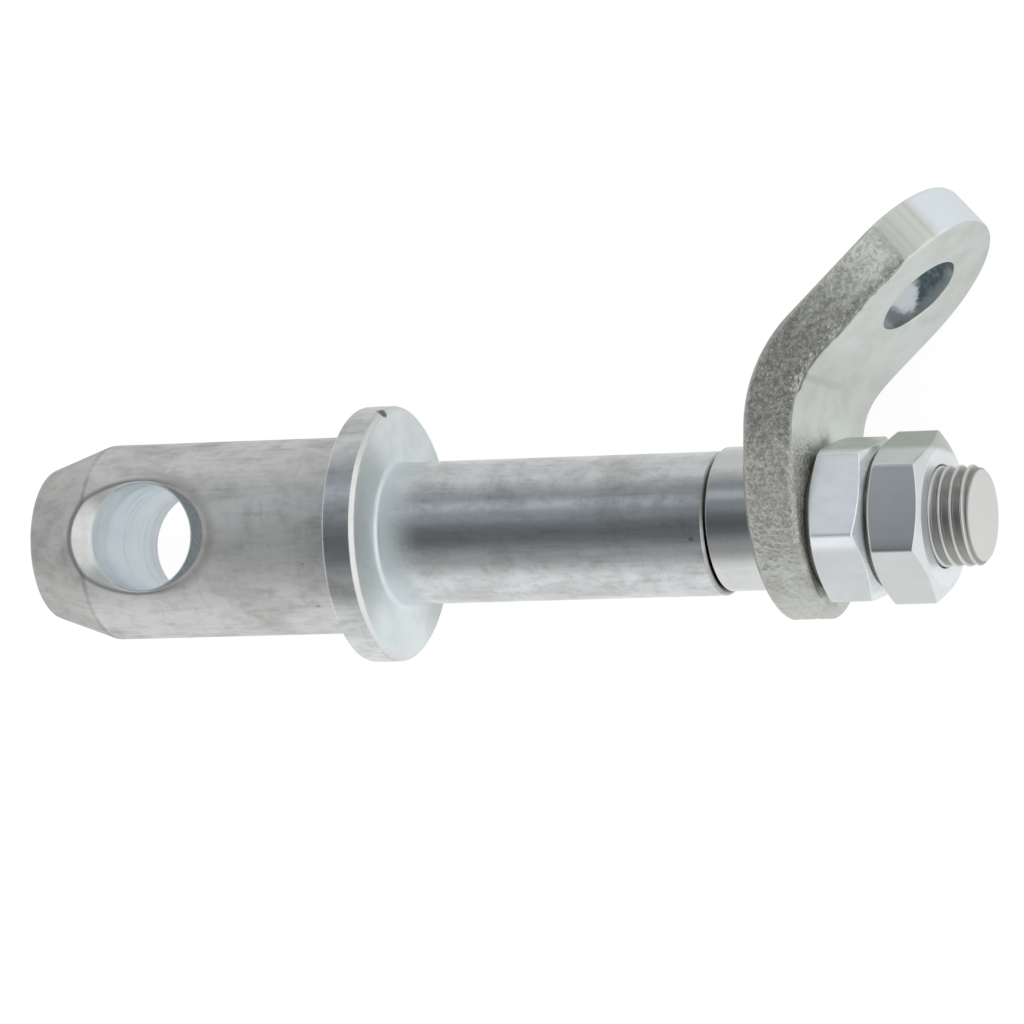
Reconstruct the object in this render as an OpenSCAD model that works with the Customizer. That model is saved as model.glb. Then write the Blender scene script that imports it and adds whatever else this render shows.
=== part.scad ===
// Stabilizer pin: a turned lower-link pin with a cross-drilled head, a collar,
// a plain shank and a threaded stud, on which two thin nuts clamp a spacer ring
// and a bent lug. The pin's axis is X, from the nose towards the thread. The
// origin is on that axis, at the collar face that the shank starts from. The
// lug's arm leans to +Y and +X, and the edges of its bar face up and down in Z.

/* [Head] */
// Diameter of the head that carries the link ball
head_d = 22; // [18:0.1:26]
// Length of the head, from the nose face to the collar
head_len = 38.5; // [34:0.1:60]
// Diameter of the flat nose face
nose_d = 16.8; // [10:0.1:17]
// Length of the nose cone
nose_len = 7.4; // [3:0.1:7.5]
// Radius of the edge between cone and head
nose_round = 1.2; // [0.4:0.1:2]

/* [Cross hole] */
// Diameter of the hole for the linch pin
cross_d = 12.1; // [8:0.1:13]
// Distance of the hole from the nose face
cross_from_nose = 14.1; // [13.5:0.1:18]
// Diameter of each countersink at the crown of the head
cross_sink_d = 17.6; // [14:0.1:18]
// Depth of each countersink below the crown of the head
cross_sink_t = 2.3; // [1.5:0.1:3]
// Turn of the hole about the pin's axis, from upright towards the arm
cross_turn = -2; // [-30:1:30]

/* [Collar] */
// Diameter of the collar
collar_d = 28.6; // [27:0.1:36]
// Thickness of the collar
collar_t = 3.2; // [2:0.1:6]
// Bevel on the collar's shank side
collar_bevel = 0.7; // [0.2:0.1:0.9]
// Bevel on the collar's head side
collar_back_bevel = 0.25; // [0.1:0.05:0.6]

/* [Shank] */
// Diameter of the plain shank
shank_d = 15.9; // [14.5:0.1:17]
// Length of the plain shank
shank_len = 39.5; // [25:0.5:70]
// Radius of the fillet between collar and shank
shank_root = 0.9; // [0.3:0.1:1.5]
// Bevel at the shank's shoulder
shank_bevel = 0.5; // [0.2:0.1:0.8]

/* [Stud] */
// Outer diameter of the thread
stud_d = 11.1; // [9:0.1:11.5]
// Length of thread that stands out past the lock nut
stud_proud = 4.5; // [2:0.1:12]
// Bevel at the end of the thread
stud_bevel = 0.6; // [0.3:0.1:1.5]

/* [Spacer] */
// Length of the spacer ring
spacer_len = 5.8; // [3:0.1:12]
// Play between the ring's bore and the stud, on the radius
spacer_play = 0.5; // [0.3:0.05:0.8]
// Bevel at the ring's outer edges
spacer_bevel = 0.45; // [0.2:0.05:0.6]

/* [Lug] */
// Width of the bar that the lug is made of
lug_w = 23; // [21:0.1:24]
// Thickness of the bar
lug_t = 5.9; // [4:0.1:8]
// Angle that the arm leans over
lug_bend = 46; // [25:1:60]
// Height of the bend's inner corner above the pin's axis
lug_bend_y = 14; // [12.5:0.1:20]
// Radius inside the bend
lug_bend_r = 11; // [3:0.5:14]
// Length of the arm from the inner corner to the eye
lug_arm = 14.7; // [13:0.1:30]
// Extra width of the arm along its lower edge
arm_flare = 1.4; // [0.6:0.1:2]
// Height above the pin's axis where the bar starts to widen
flare_y = 12.4; // [11.5:0.1:14]
// Height in which the bar widens to the arm's full width
flare_rise = 5.2; // [4:0.1:7]
// Diameter of the eye
eye_d = 10.1; // [6:0.1:12]
// Reach of the arm's tip past the middle of the eye
eye_reach = 10.9; // [9:0.05:12]
// Distance of the arm's tip above the middle of the bar
eye_skew = 2.5; // [1:0.1:3]
// Radius of the tip's lower corner
eye_r_down = 15; // [14.6:0.1:20]
// Drop of the foot's tip below the pin's axis
foot_drop = 10.6; // [10:0.1:12]
// Distance of the foot's tip below the middle of the bar
foot_skew = 2.9; // [0:0.1:4]
// Radius of the foot's upper corner
foot_r_up = 16; // [12:0.1:18]
// Radius of the foot's lower corner
foot_r_down = 10.6; // [9:0.1:16]
// Clearance of the stud in the lug, on the radius
lug_play = 0.2; // [0.1:0.05:0.5]

/* [Nuts] */
// Width across the flats of both nuts
nut_af = 16.6; // [15.5:0.1:18]
// Thickness of each nut
nut_t = 6.75; // [5:0.05:9]
// Thickness of the round face that each nut bears on
nut_face_t = 0.7; // [0.2:0.1:1]
// Diameter of that round face
nut_face_d = 15.2; // [13.5:0.1:15.4]
// Play between the nuts and the stud, on the radius
nut_play = 0.06; // [0.04:0.02:0.2]
// Turn of the clamp nut, from a flat that faces up towards the arm
clamp_nut_turn = 14; // [0:1:60]
// Turn of the lock nut, from a flat that faces up towards the arm
lock_nut_turn = 2; // [0:1:60]

/* [Hidden] */
$fn = 96;

// How far a cut runs past the faces that it opens
cut_over = 1;
// Angle of the bevels at a nut's corners
nut_bevel = 22;
// Straight steps in each small round of the turned outline
round_steps = 6;
// Straight steps along each side of the lug's bend
bend_steps = 16;
// How far the arc of each corner of the lug starts outside the bar's edge
corner_lead = 0.02;
// Share of its play by which the loose ring hangs off the axis
spacer_hang = 0.9;

// Stations along the pin's axis
nose_x = -collar_t - head_len;
cross_x = nose_x + cross_from_nose;
lug_x = shank_len + spacer_len;
clamp_x = lug_x + lug_t;
lock_x = clamp_x + nut_t;
stud_x = lock_x + nut_t + stud_proud;

// Length that the bend takes from each run of the bar, up to their corner
bend_leg = lug_bend_r * tan(lug_bend / 2);
// Places of the bend's centre and the eye, as distances along the axis and up the lug
bend_at = [clamp_x + lug_bend_r, lug_bend_y - bend_leg];
eye_at = [clamp_x, lug_bend_y] + lug_arm * [sin(lug_bend), cos(lug_bend)];
// Radius of the tip's upper corner, whose crown is the tip
eye_r_up = lug_w / 2 - eye_skew;

// Turns an outline about the pin's axis: its x runs along the axis, its y is the radius
module turned() {
    rotate([0, 90, 0]) rotate_extrude() mirror([1, -1, 0]) children();
}

// Raises a plan of a plate along X: its x runs across the bar, its y up the bar
module plate_plan(from, to) {
    translate([from, 0, 0]) rotate([0, 90, 0]) linear_extrude(to - from) children();
}

// Places its children at the eye, on the arm's outer face, with +X out of that face
module at_eye() {
    translate([eye_at[0], eye_at[1], 0]) rotate([0, 0, -lug_bend]) children();
}

// Points of a round about a centre, from one angle to another
function round_points(centre, radius, from, to, steps = round_steps) = [
    for (step = [0 : steps])
        let (turn = from + (to - from) * step / steps)
        centre + radius * [cos(turn), sin(turn)]
];

// Outline of the turned pin, rounded where the cone meets the head and at the shank's root
module pin_outline() {
    cone = atan((head_d - nose_d) / 2 / nose_len);
    nose_edge = [nose_x + nose_len + nose_round * tan(cone / 2), head_d / 2 - nose_round];
    root = [shank_root, shank_d / 2 + shank_root];
    polygon(concat(
        [[nose_x, 0], [nose_x, nose_d / 2]],
        round_points(nose_edge, nose_round, 90 + cone, 90),
        [
            [-collar_t, head_d / 2],
            [-collar_t, collar_d / 2 - collar_back_bevel],
            [-collar_t + collar_back_bevel, collar_d / 2],
            [-collar_bevel, collar_d / 2],
            [0, collar_d / 2 - collar_bevel]
        ],
        round_points(root, shank_root, 180, 270),
        [
            [shank_len - shank_bevel, shank_d / 2],
            [shank_len, shank_d / 2 - shank_bevel],
            [shank_len, stud_d / 2],
            [stud_x - stud_bevel, stud_d / 2],
            [stud_x, stud_d / 2 - stud_bevel],
            [stud_x, 0]
        ]));
}

// Linch pin hole, with a countersink at both mouths
module cross_hole() {
    widening = (cross_sink_d - cross_d) / cross_sink_t;
    translate([cross_x, 0, 0]) rotate([-cross_turn, 0, 0]) {
        cylinder(d = cross_d, h = head_d + 2 * cut_over, center = true);
        for (side = [0, 180])
            rotate([side, 0, 0]) translate([0, 0, head_d / 2 - cross_sink_t])
                cylinder(d1 = cross_d, d2 = cross_sink_d + widening * cut_over, h = cross_sink_t + cut_over);
    }
}

module pin_body() {
    color("silver") difference() {
        turned() pin_outline();
        cross_hole();
    }
}

module spacer_ring() {
    bore_r = stud_d / 2 + spacer_play;
    edge_r = shank_d / 2;
    color("lightgray") translate([shank_len, spacer_hang * spacer_play, 0]) turned() polygon([
        [0, bore_r],
        [0, edge_r - spacer_bevel],
        [spacer_bevel, edge_r],
        [spacer_len - spacer_bevel, edge_r],
        [spacer_len, edge_r - spacer_bevel],
        [spacer_len, bore_r]
    ]);
}

// The bent bar seen from its edge, left long at the foot and at the tip
module bar_side() {
    foot = -foot_drop - cut_over;
    along = [sin(lug_bend), cos(lug_bend)];
    back = [-cos(lug_bend), sin(lug_bend)];
    tip = eye_at + (eye_reach + cut_over) * along;
    polygon(concat(
        [[lug_x, foot], [clamp_x, foot]],
        round_points(bend_at, lug_bend_r, 180, 180 - lug_bend, bend_steps),
        [tip, tip + lug_t * back],
        round_points(bend_at, lug_bend_r + lug_t, 180 - lug_bend, 180, bend_steps)));
}

// What is cut off one corner of the bar by an arc that runs from the bar's edge to the tip
module corner_waste(edge, radius, reach, tip) {
    across = edge + corner_lead - radius;
    start = reach - sqrt(radius * radius - (tip - across) * (tip - across));
    difference() {
        translate([tip - cut_over, start]) square([lug_w, radius + 2 * cut_over]);
        translate([across, start]) circle(radius);
    }
}

// Cuts through the upright run: the foot's two corners, its lower edge and the hole for the stud
module foot_cuts() {
    edge = lug_w / 2;
    past = 1.5;
    rotate(180) corner_waste(edge, foot_r_up, foot_drop, -foot_skew);
    mirror([0, 1]) corner_waste(edge, foot_r_down, foot_drop, foot_skew);
    polygon([
        [edge, -foot_drop - 2 * cut_over],
        [edge, flare_y],
        [edge + past * arm_flare, flare_y + past * flare_rise],
        [edge + past * arm_flare, -foot_drop - 2 * cut_over]
    ]);
    circle(stud_d / 2 + lug_play);
}

// Cuts through the leaning arm: the tip's two corners and the eye
module arm_cuts() {
    mirror([1, 0]) corner_waste(lug_w / 2, eye_r_up, eye_reach, eye_skew);
    corner_waste(lug_w / 2 + arm_flare, eye_r_down, eye_reach, -eye_skew);
    circle(d = eye_d);
}

module bent_lug() {
    color("darkgray") difference() {
        translate([0, 0, -lug_w / 2 - arm_flare]) linear_extrude(lug_w + arm_flare) bar_side();
        plate_plan(lug_x - cut_over, eye_at[0]) foot_cuts();
        at_eye() plate_plan(-lug_t - cut_over, cut_over) arm_cuts();
    }
}

// A thin nut from its round bearing face at x = 0, bevelled at the corners of both ends
module hex_nut(turn) {
    corner_r = nut_af / sqrt(3);
    bore_r = stud_d / 2 + nut_play;
    past_r = corner_r + cut_over;
    rise = (past_r - nut_face_d / 2) * tan(nut_bevel);
    intersection() {
        rotate([30 - turn, 0, 0]) rotate([0, 90, 0]) cylinder(r = corner_r, h = nut_t, $fn = 6);
        turned() polygon([
            [0, bore_r],
            [0, nut_face_d / 2],
            [nut_face_t, nut_face_d / 2],
            [nut_face_t + rise, past_r],
            [nut_t - rise, past_r],
            [nut_t, nut_face_d / 2],
            [nut_t, bore_r]
        ]);
    }
}

module clamp_nut() {
    color("gainsboro") translate([clamp_x, 0, 0]) hex_nut(clamp_nut_turn);
}

module lock_nut() {
    color("gainsboro") translate([lock_x, 0, 0]) hex_nut(lock_nut_turn);
}

pin_body();
spacer_ring();
bent_lug();
clamp_nut();
lock_nut();
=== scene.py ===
"""Looks of the stabilizer pin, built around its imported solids.

The turned pin, the spacer ring, the bent lug and the two thin nuts are surfaces worked out with
numpy in millimetres, and are put into meshes in metres in the frame of the solids: X runs along
the pin from its nose to its thread, Y is the side that the lug leans to, and Z is up.
"""
import logging
import math
from dataclasses import dataclass, field
from enum import Enum

import bmesh
import bpy
import numpy as np
from mathutils import Matrix


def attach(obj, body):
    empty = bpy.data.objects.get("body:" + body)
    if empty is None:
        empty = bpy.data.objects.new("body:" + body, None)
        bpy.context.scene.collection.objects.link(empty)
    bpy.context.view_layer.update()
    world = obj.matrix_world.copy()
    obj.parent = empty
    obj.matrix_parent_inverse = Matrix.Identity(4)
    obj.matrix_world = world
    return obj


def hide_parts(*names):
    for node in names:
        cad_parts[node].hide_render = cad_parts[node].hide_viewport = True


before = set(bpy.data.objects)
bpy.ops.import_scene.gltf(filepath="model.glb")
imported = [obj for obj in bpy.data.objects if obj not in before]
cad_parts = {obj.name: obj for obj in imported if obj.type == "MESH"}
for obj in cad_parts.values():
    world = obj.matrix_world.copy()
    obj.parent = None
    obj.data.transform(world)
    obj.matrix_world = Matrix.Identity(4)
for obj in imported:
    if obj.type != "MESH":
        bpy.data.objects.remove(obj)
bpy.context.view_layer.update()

MM = 0.001
WELD_M = 2e-7
BODY = "root"
# Length of the lug's bar in mm over which the RUN value rises by 1
RUN_MM = 40.0
Socket = bpy.types.NodeSocket
Colour = tuple[float, float, float]
Place = tuple[float, float, float]
log = logging.getLogger("stabilizer_pin")


class Mark(Enum):
    """Names of the values that a mesh carries for its finish."""

    CAST = "cast"
    RUN = "run"
    SATIN = "satin"
    # Painted shade: grooves, gaps, thread valleys and shaded sides; on the lug, the eye's wall with its
    # painted shade and highlight.
    PAINTED_SHADE = "grime"
    DRILLED = "drilled"
    THREADED = "threaded"
    COOL = "cool"
    # Painted highlights on the collar's bevel, the countersink's nose side, the thread's crests and the
    # stud's end.
    PAINTED_HIGHLIGHT = "bright"


class Sum(Enum):
    """Sums that a finish can put two numbers through."""

    PLUS = "ADD"
    MINUS = "SUBTRACT"
    TIMES = "MULTIPLY"
    OVER = "DIVIDE"
    MOST = "MAXIMUM"
    SIZE = "ABSOLUTE"
    ANGLE = "ARCTAN2"


# Surface tools


def grid_quads(rows: int, cols: int, wrap: bool) -> np.ndarray:
    """Numbers the corners of a grid's quads, row by row.

    Args:
        rows: Number of rows of points.
        cols: Number of points in each row.
        wrap: Whether each row closes on itself.

    Returns:
        An array of four corner numbers for each quad.
    """
    i, j = np.meshgrid(np.arange(rows - 1), np.arange(cols if wrap else cols - 1), indexing="ij")
    k = (j + 1) % cols
    return np.stack([i * cols + j, i * cols + k, (i + 1) * cols + k, (i + 1) * cols + j], -1).reshape(-1, 4)


def smooth_step(value: np.ndarray, low: float, high: float) -> np.ndarray:
    """Rises from 0 at low to 1 at high along t * t * (3 - 2 * t)."""
    t = np.clip((value - low) / (high - low), 0.0, 1.0)
    return t * t * (3.0 - 2.0 * t)


def lattice_noise(points: np.ndarray, cell: float, seed: int) -> np.ndarray:
    """Smooth noise from -1 to 1.

    Each corner of a cubic lattice has a random value that comes from a whole-number hash of the
    corner's place. A point takes the eight values around it, blended by quintic weights.

    Args:
        points: Places in mm, an array whose last axis is x, y, z.
        cell: Size of a lattice cell in mm.
        seed: Number that picks the set of random values.

    Returns:
        One value for each point.
    """
    place = points / cell
    base = np.floor(place).astype(np.int64)
    part = place - base
    blend = part**3 * (part * (part * 6.0 - 15.0) + 10.0)
    total = np.zeros(points.shape[:-1])
    for corner in np.ndindex(2, 2, 2):
        c = base + np.array(corner)
        h = c[..., 0] * 73856093 ^ c[..., 1] * 19349663 ^ c[..., 2] * 83492791 ^ seed * 2654435761
        h = (h ^ h >> 15) * 2246822519 & 0xFFFFFFFF
        h = (h ^ h >> 13) * 3266489917 & 0xFFFFFFFF
        value = (h ^ h >> 16) / 2147483648.0 - 1.0
        total += value * np.where(np.array(corner) == 1, blend, 1.0 - blend).prod(-1)
    return total


def round_turns(count: int) -> np.ndarray:
    """Angles of so many even steps of a full turn."""
    return np.arange(count) * 2.0 * math.pi / count


def carry_round(path: np.ndarray, turn: np.ndarray, shift: tuple[float, float] = (0.0, 0.0)) -> np.ndarray:
    """Carries points round the X axis: x stays, the radius goes to cos(turn) in Y and sin(turn) in Z.

    Args:
        path: Points (x, radius), an array of shape (points, 1 or turns, 2).
        turn: Angles about the axis.
        shift: Distance in mm that all points move along X and along Y.

    Returns:
        A grid with a row for each point and a column for each angle.
    """
    x, radius = np.broadcast_arrays(path[..., 0], path[..., 1] + 0.0 * turn)
    return np.stack([x + shift[0], radius * np.cos(turn) + shift[1], radius * np.sin(turn)], -1)


def fillet_path(corners: np.ndarray, radii: list[float], steps: int = 6, hold: float = 0.08) -> np.ndarray:
    """Rounds the corners of a path, or of a whole family of paths at once.

    At each inner corner the arc touches both straight runs at radius / tan(half the angle) from
    the corner, and its points are blended by sine weights between the two touching points. A
    point is added on each run just outside the arc, so that the flat beside it shades flat.

    Args:
        corners: Corner points, an array of shape (corners, ..., 2).
        radii: Radius at each corner, or 0 for a plain point.
        steps: Number of steps along each arc.
        hold: Distance in mm of the added points from the arc.

    Returns:
        The path's points, an array of shape (points, ..., 2).
    """
    out = [corners[:1]]
    for i in range(1, len(corners) - 1):
        at = corners[i]
        if radii[i] == 0.0:
            out.append(at[None])
            continue
        a = corners[i - 1] - at
        b = corners[i + 1] - at
        len_a = np.linalg.norm(a, axis=-1, keepdims=True)
        len_b = np.linalg.norm(b, axis=-1, keepdims=True)
        a, b = a / len_a, b / len_b
        half = 0.5 * np.arccos(np.clip((a * b).sum(-1, keepdims=True), -1.0, 1.0))
        reach = np.minimum(radii[i] / np.tan(half), 0.45 * np.minimum(len_a, len_b))
        radius = reach * np.tan(half)
        mid = (a + b) / np.linalg.norm(a + b, axis=-1, keepdims=True)
        centre = at + mid * radius / np.sin(half)
        first, last = at + a * reach - centre, at + b * reach - centre
        turn = math.pi - 2.0 * half
        w = np.linspace(0.0, 1.0, steps + 1).reshape((-1,) + (1,) * at.ndim)
        arc = centre + (np.sin((1.0 - w) * turn) * first + np.sin(w * turn) * last) / np.sin(turn)
        before = at + a * np.minimum(reach + hold, 0.5 * len_a)
        after = at + b * np.minimum(reach + hold, 0.5 * len_b)
        out += [before[None], arc, after[None]]
    out.append(corners[-1:])
    return np.concatenate(out)


@dataclass
class Shell:
    """Gathers grids of points into one closed mesh."""

    name: str
    points: list[np.ndarray] = field(default_factory=list)
    quads: list[np.ndarray] = field(default_factory=list)
    marks: list[dict[Mark, np.ndarray]] = field(default_factory=list)
    count: int = 0

    def add_grid(self, points: np.ndarray, wrap: bool, **marks: np.ndarray) -> None:
        """Adds a grid of points.

        Args:
            points: Places in mm, an array of shape (rows, columns, 3).
            wrap: Whether each row closes on itself.
            **marks: Values for each point, by the lower-case name of their Mark; others are 0.
        """
        rows, cols = points.shape[:2]
        self.points.append(points.reshape(-1, 3))
        self.quads.append(grid_quads(rows, cols, wrap) + self.count)
        self.marks.append({Mark(k): np.broadcast_to(v, (rows, cols)).reshape(-1) for k, v in marks.items()})
        self.count += rows * cols

    def build(self) -> bpy.types.Object:
        """Puts the gathered grids into a mesh, welds their seams and turns the faces outwards.

        Returns:
            The new object, linked to the scene.
        """
        co = np.concatenate(self.points) * MM
        quads = np.concatenate(self.quads)
        mesh = bpy.data.meshes.new(self.name)
        mesh.vertices.add(len(co))
        mesh.vertices.foreach_set("co", co.astype(np.float32).ravel())
        mesh.loops.add(quads.size)
        mesh.loops.foreach_set("vertex_index", quads.astype(np.int32).ravel())
        mesh.polygons.add(len(quads))
        mesh.polygons.foreach_set("loop_start", np.arange(0, quads.size, 4, dtype=np.int32))
        for mark in Mark:
            values = [grid.get(mark, np.zeros(len(at))) for grid, at in zip(self.marks, self.points)]
            layer = mesh.attributes.new(mark.value, "FLOAT", "POINT")
            layer.data.foreach_set("value", np.concatenate(values).astype(np.float32))
        mesh.update(calc_edges=True)
        work = bmesh.new()
        work.from_mesh(mesh)
        bmesh.ops.remove_doubles(work, verts=work.verts, dist=WELD_M)
        bmesh.ops.recalc_face_normals(work, faces=work.faces)
        work.to_mesh(mesh)
        work.free()
        mesh.polygons.foreach_set("use_smooth", np.ones(len(mesh.polygons), bool))
        mesh.update()
        piece = bpy.data.objects.new(self.name, mesh)
        bpy.context.scene.collection.objects.link(piece)
        return piece


# Finishes


class NodeSheet:
    """Adds nodes to a node tree and links them."""

    def __init__(self, tree: bpy.types.NodeTree) -> None:
        """Empties the tree."""
        self.tree = tree
        tree.nodes.clear()

    def add(self, kind: str, *values: object, **sockets: object) -> bpy.types.Node:
        """Adds a node and fills its inputs.

        Args:
            kind: Blender's name of the node's type.
            *values: Values or output sockets for the first inputs, in their order.
            **sockets: Values or output sockets, by the input's name with _ for each space, and
                settings of the node by their own lower-case name.

        Returns:
            The new node.
        """
        node = self.tree.nodes.new(kind)
        for key in [k for k in sockets if k.islower()]:
            setattr(node, key, sockets.pop(key))
        for socket, value in zip(node.inputs, values):
            self.feed(socket, value)
        for key, value in sockets.items():
            self.feed(node.inputs[key.replace("_", " ")], value)
        return node

    def feed(self, socket: Socket, value: object) -> None:
        """Links an output to a socket, or sets the socket's own value.

        Args:
            socket: Input to fill.
            value: Output socket or plain value.
        """
        if isinstance(value, Socket):
            self.tree.links.new(value, socket)
        else:
            socket.default_value = value

    def place(self, stretch: Place = (1.0, 1.0, 1.0)) -> Socket:
        """Object coordinates in millimetres.

        Args:
            stretch: Factor along each axis.

        Returns:
            The stretched coordinates.
        """
        coord = self.add("ShaderNodeTexCoord").outputs["Object"]
        scale = tuple(v / MM for v in stretch)
        return self.add("ShaderNodeMapping", Vector=coord, Scale=scale).outputs[0]

    def noise(self, where: Socket, scale: float, detail: float = 3.0,
              rough: float = 0.55, twist: float = 0.0) -> Socket:
        """Fractal noise from 0 to 1 at so many cells in each millimetre."""
        return self.add("ShaderNodeTexNoise", Vector=where, Scale=scale, Detail=detail,
                        Roughness=rough, Distortion=twist).outputs[0]

    def cells(self, where: Socket, scale: float) -> Socket:
        """Distance to the nearest of a set of scattered points."""
        return self.add("ShaderNodeTexVoronoi", Vector=where, Scale=scale).outputs["Distance"]

    def span(self, value: Socket, low: float, high: float, start: float = 0.0, end: float = 1.0) -> Socket:
        """Maps low..high to start..end along a smooth step, and stays level outside."""
        return self.add("ShaderNodeMapRange", interpolation_type="SMOOTHSTEP", Value=value, From_Min=low,
                        From_Max=high, To_Min=start, To_Max=end).outputs[0]

    def far(self, where: Socket, point: Place) -> Socket:
        """Distance in millimetres of a place from a point."""
        return self.add("ShaderNodeVectorMath", where, point, operation="DISTANCE").outputs["Value"]

    def axis(self, where: Socket, name: str) -> Socket:
        """One of a place's three coordinates, by its letter."""
        return self.add("ShaderNodeSeparateXYZ", Vector=where).outputs[name]

    def sums(self, how: Sum, a: object, b: object) -> Socket:
        """Puts two numbers or outputs through a sum."""
        return self.add("ShaderNodeMath", a, b, operation=how.value).outputs[0]

    def plus(self, a: object, b: object) -> Socket:
        """The first number plus the second."""
        return self.sums(Sum.PLUS, a, b)

    def minus(self, a: object, b: object) -> Socket:
        """The first number minus the second."""
        return self.sums(Sum.MINUS, a, b)

    def times(self, a: object, b: object) -> Socket:
        """The first number times the second."""
        return self.sums(Sum.TIMES, a, b)

    def most(self, a: object, b: object) -> Socket:
        """The larger of two numbers."""
        return self.sums(Sum.MOST, a, b)

    def mix(self, share: object, a: object, b: object) -> Socket:
        """Mixes two colours.

        Args:
            share: Share of the second colour, from 0 to 1.
            a: First colour or output.
            b: Second colour or output.

        Returns:
            The mixed colour.
        """
        node = self.add("ShaderNodeMix", share, data_type="RGBA")
        for socket, colour in ((node.inputs[6], a), (node.inputs[7], b)):
            self.feed(socket, colour if isinstance(colour, Socket) else (*colour, 1.0))
        return node.outputs[2]

    def bump(self, height: Socket, depth_mm: float) -> Socket:
        """Turns a height from 0 to 1 into a normal."""
        return self.add("ShaderNodeBump", Height=height, Distance=depth_mm * MM, Strength=1.0).outputs[0]

    def attribute(self, mark: Mark) -> Socket:
        """A value that the mesh carries."""
        return self.add("ShaderNodeAttribute", attribute_name=mark.value).outputs["Fac"]

    def blend(self, share: object, a: bpy.types.Node, b: bpy.types.Node) -> bpy.types.Node:
        """Blends two shaders by the share of the second, from 0 to 1."""
        return self.add("ShaderNodeMixShader", share, a.outputs[0], b.outputs[0])

    def show(self, shader: bpy.types.Node, kind: str = "ShaderNodeOutputMaterial") -> None:
        """Makes a shader the result of the tree."""
        self.add(kind, shader.outputs[0])


def new_material(name: str) -> tuple[bpy.types.Material, NodeSheet]:
    """Makes an empty material.

    Args:
        name: The material's name.

    Returns:
        The material and the sheet for its nodes.
    """
    mat = bpy.data.materials.new(name)
    mat.use_nodes = True
    return mat, NodeSheet(mat.node_tree)


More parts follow.
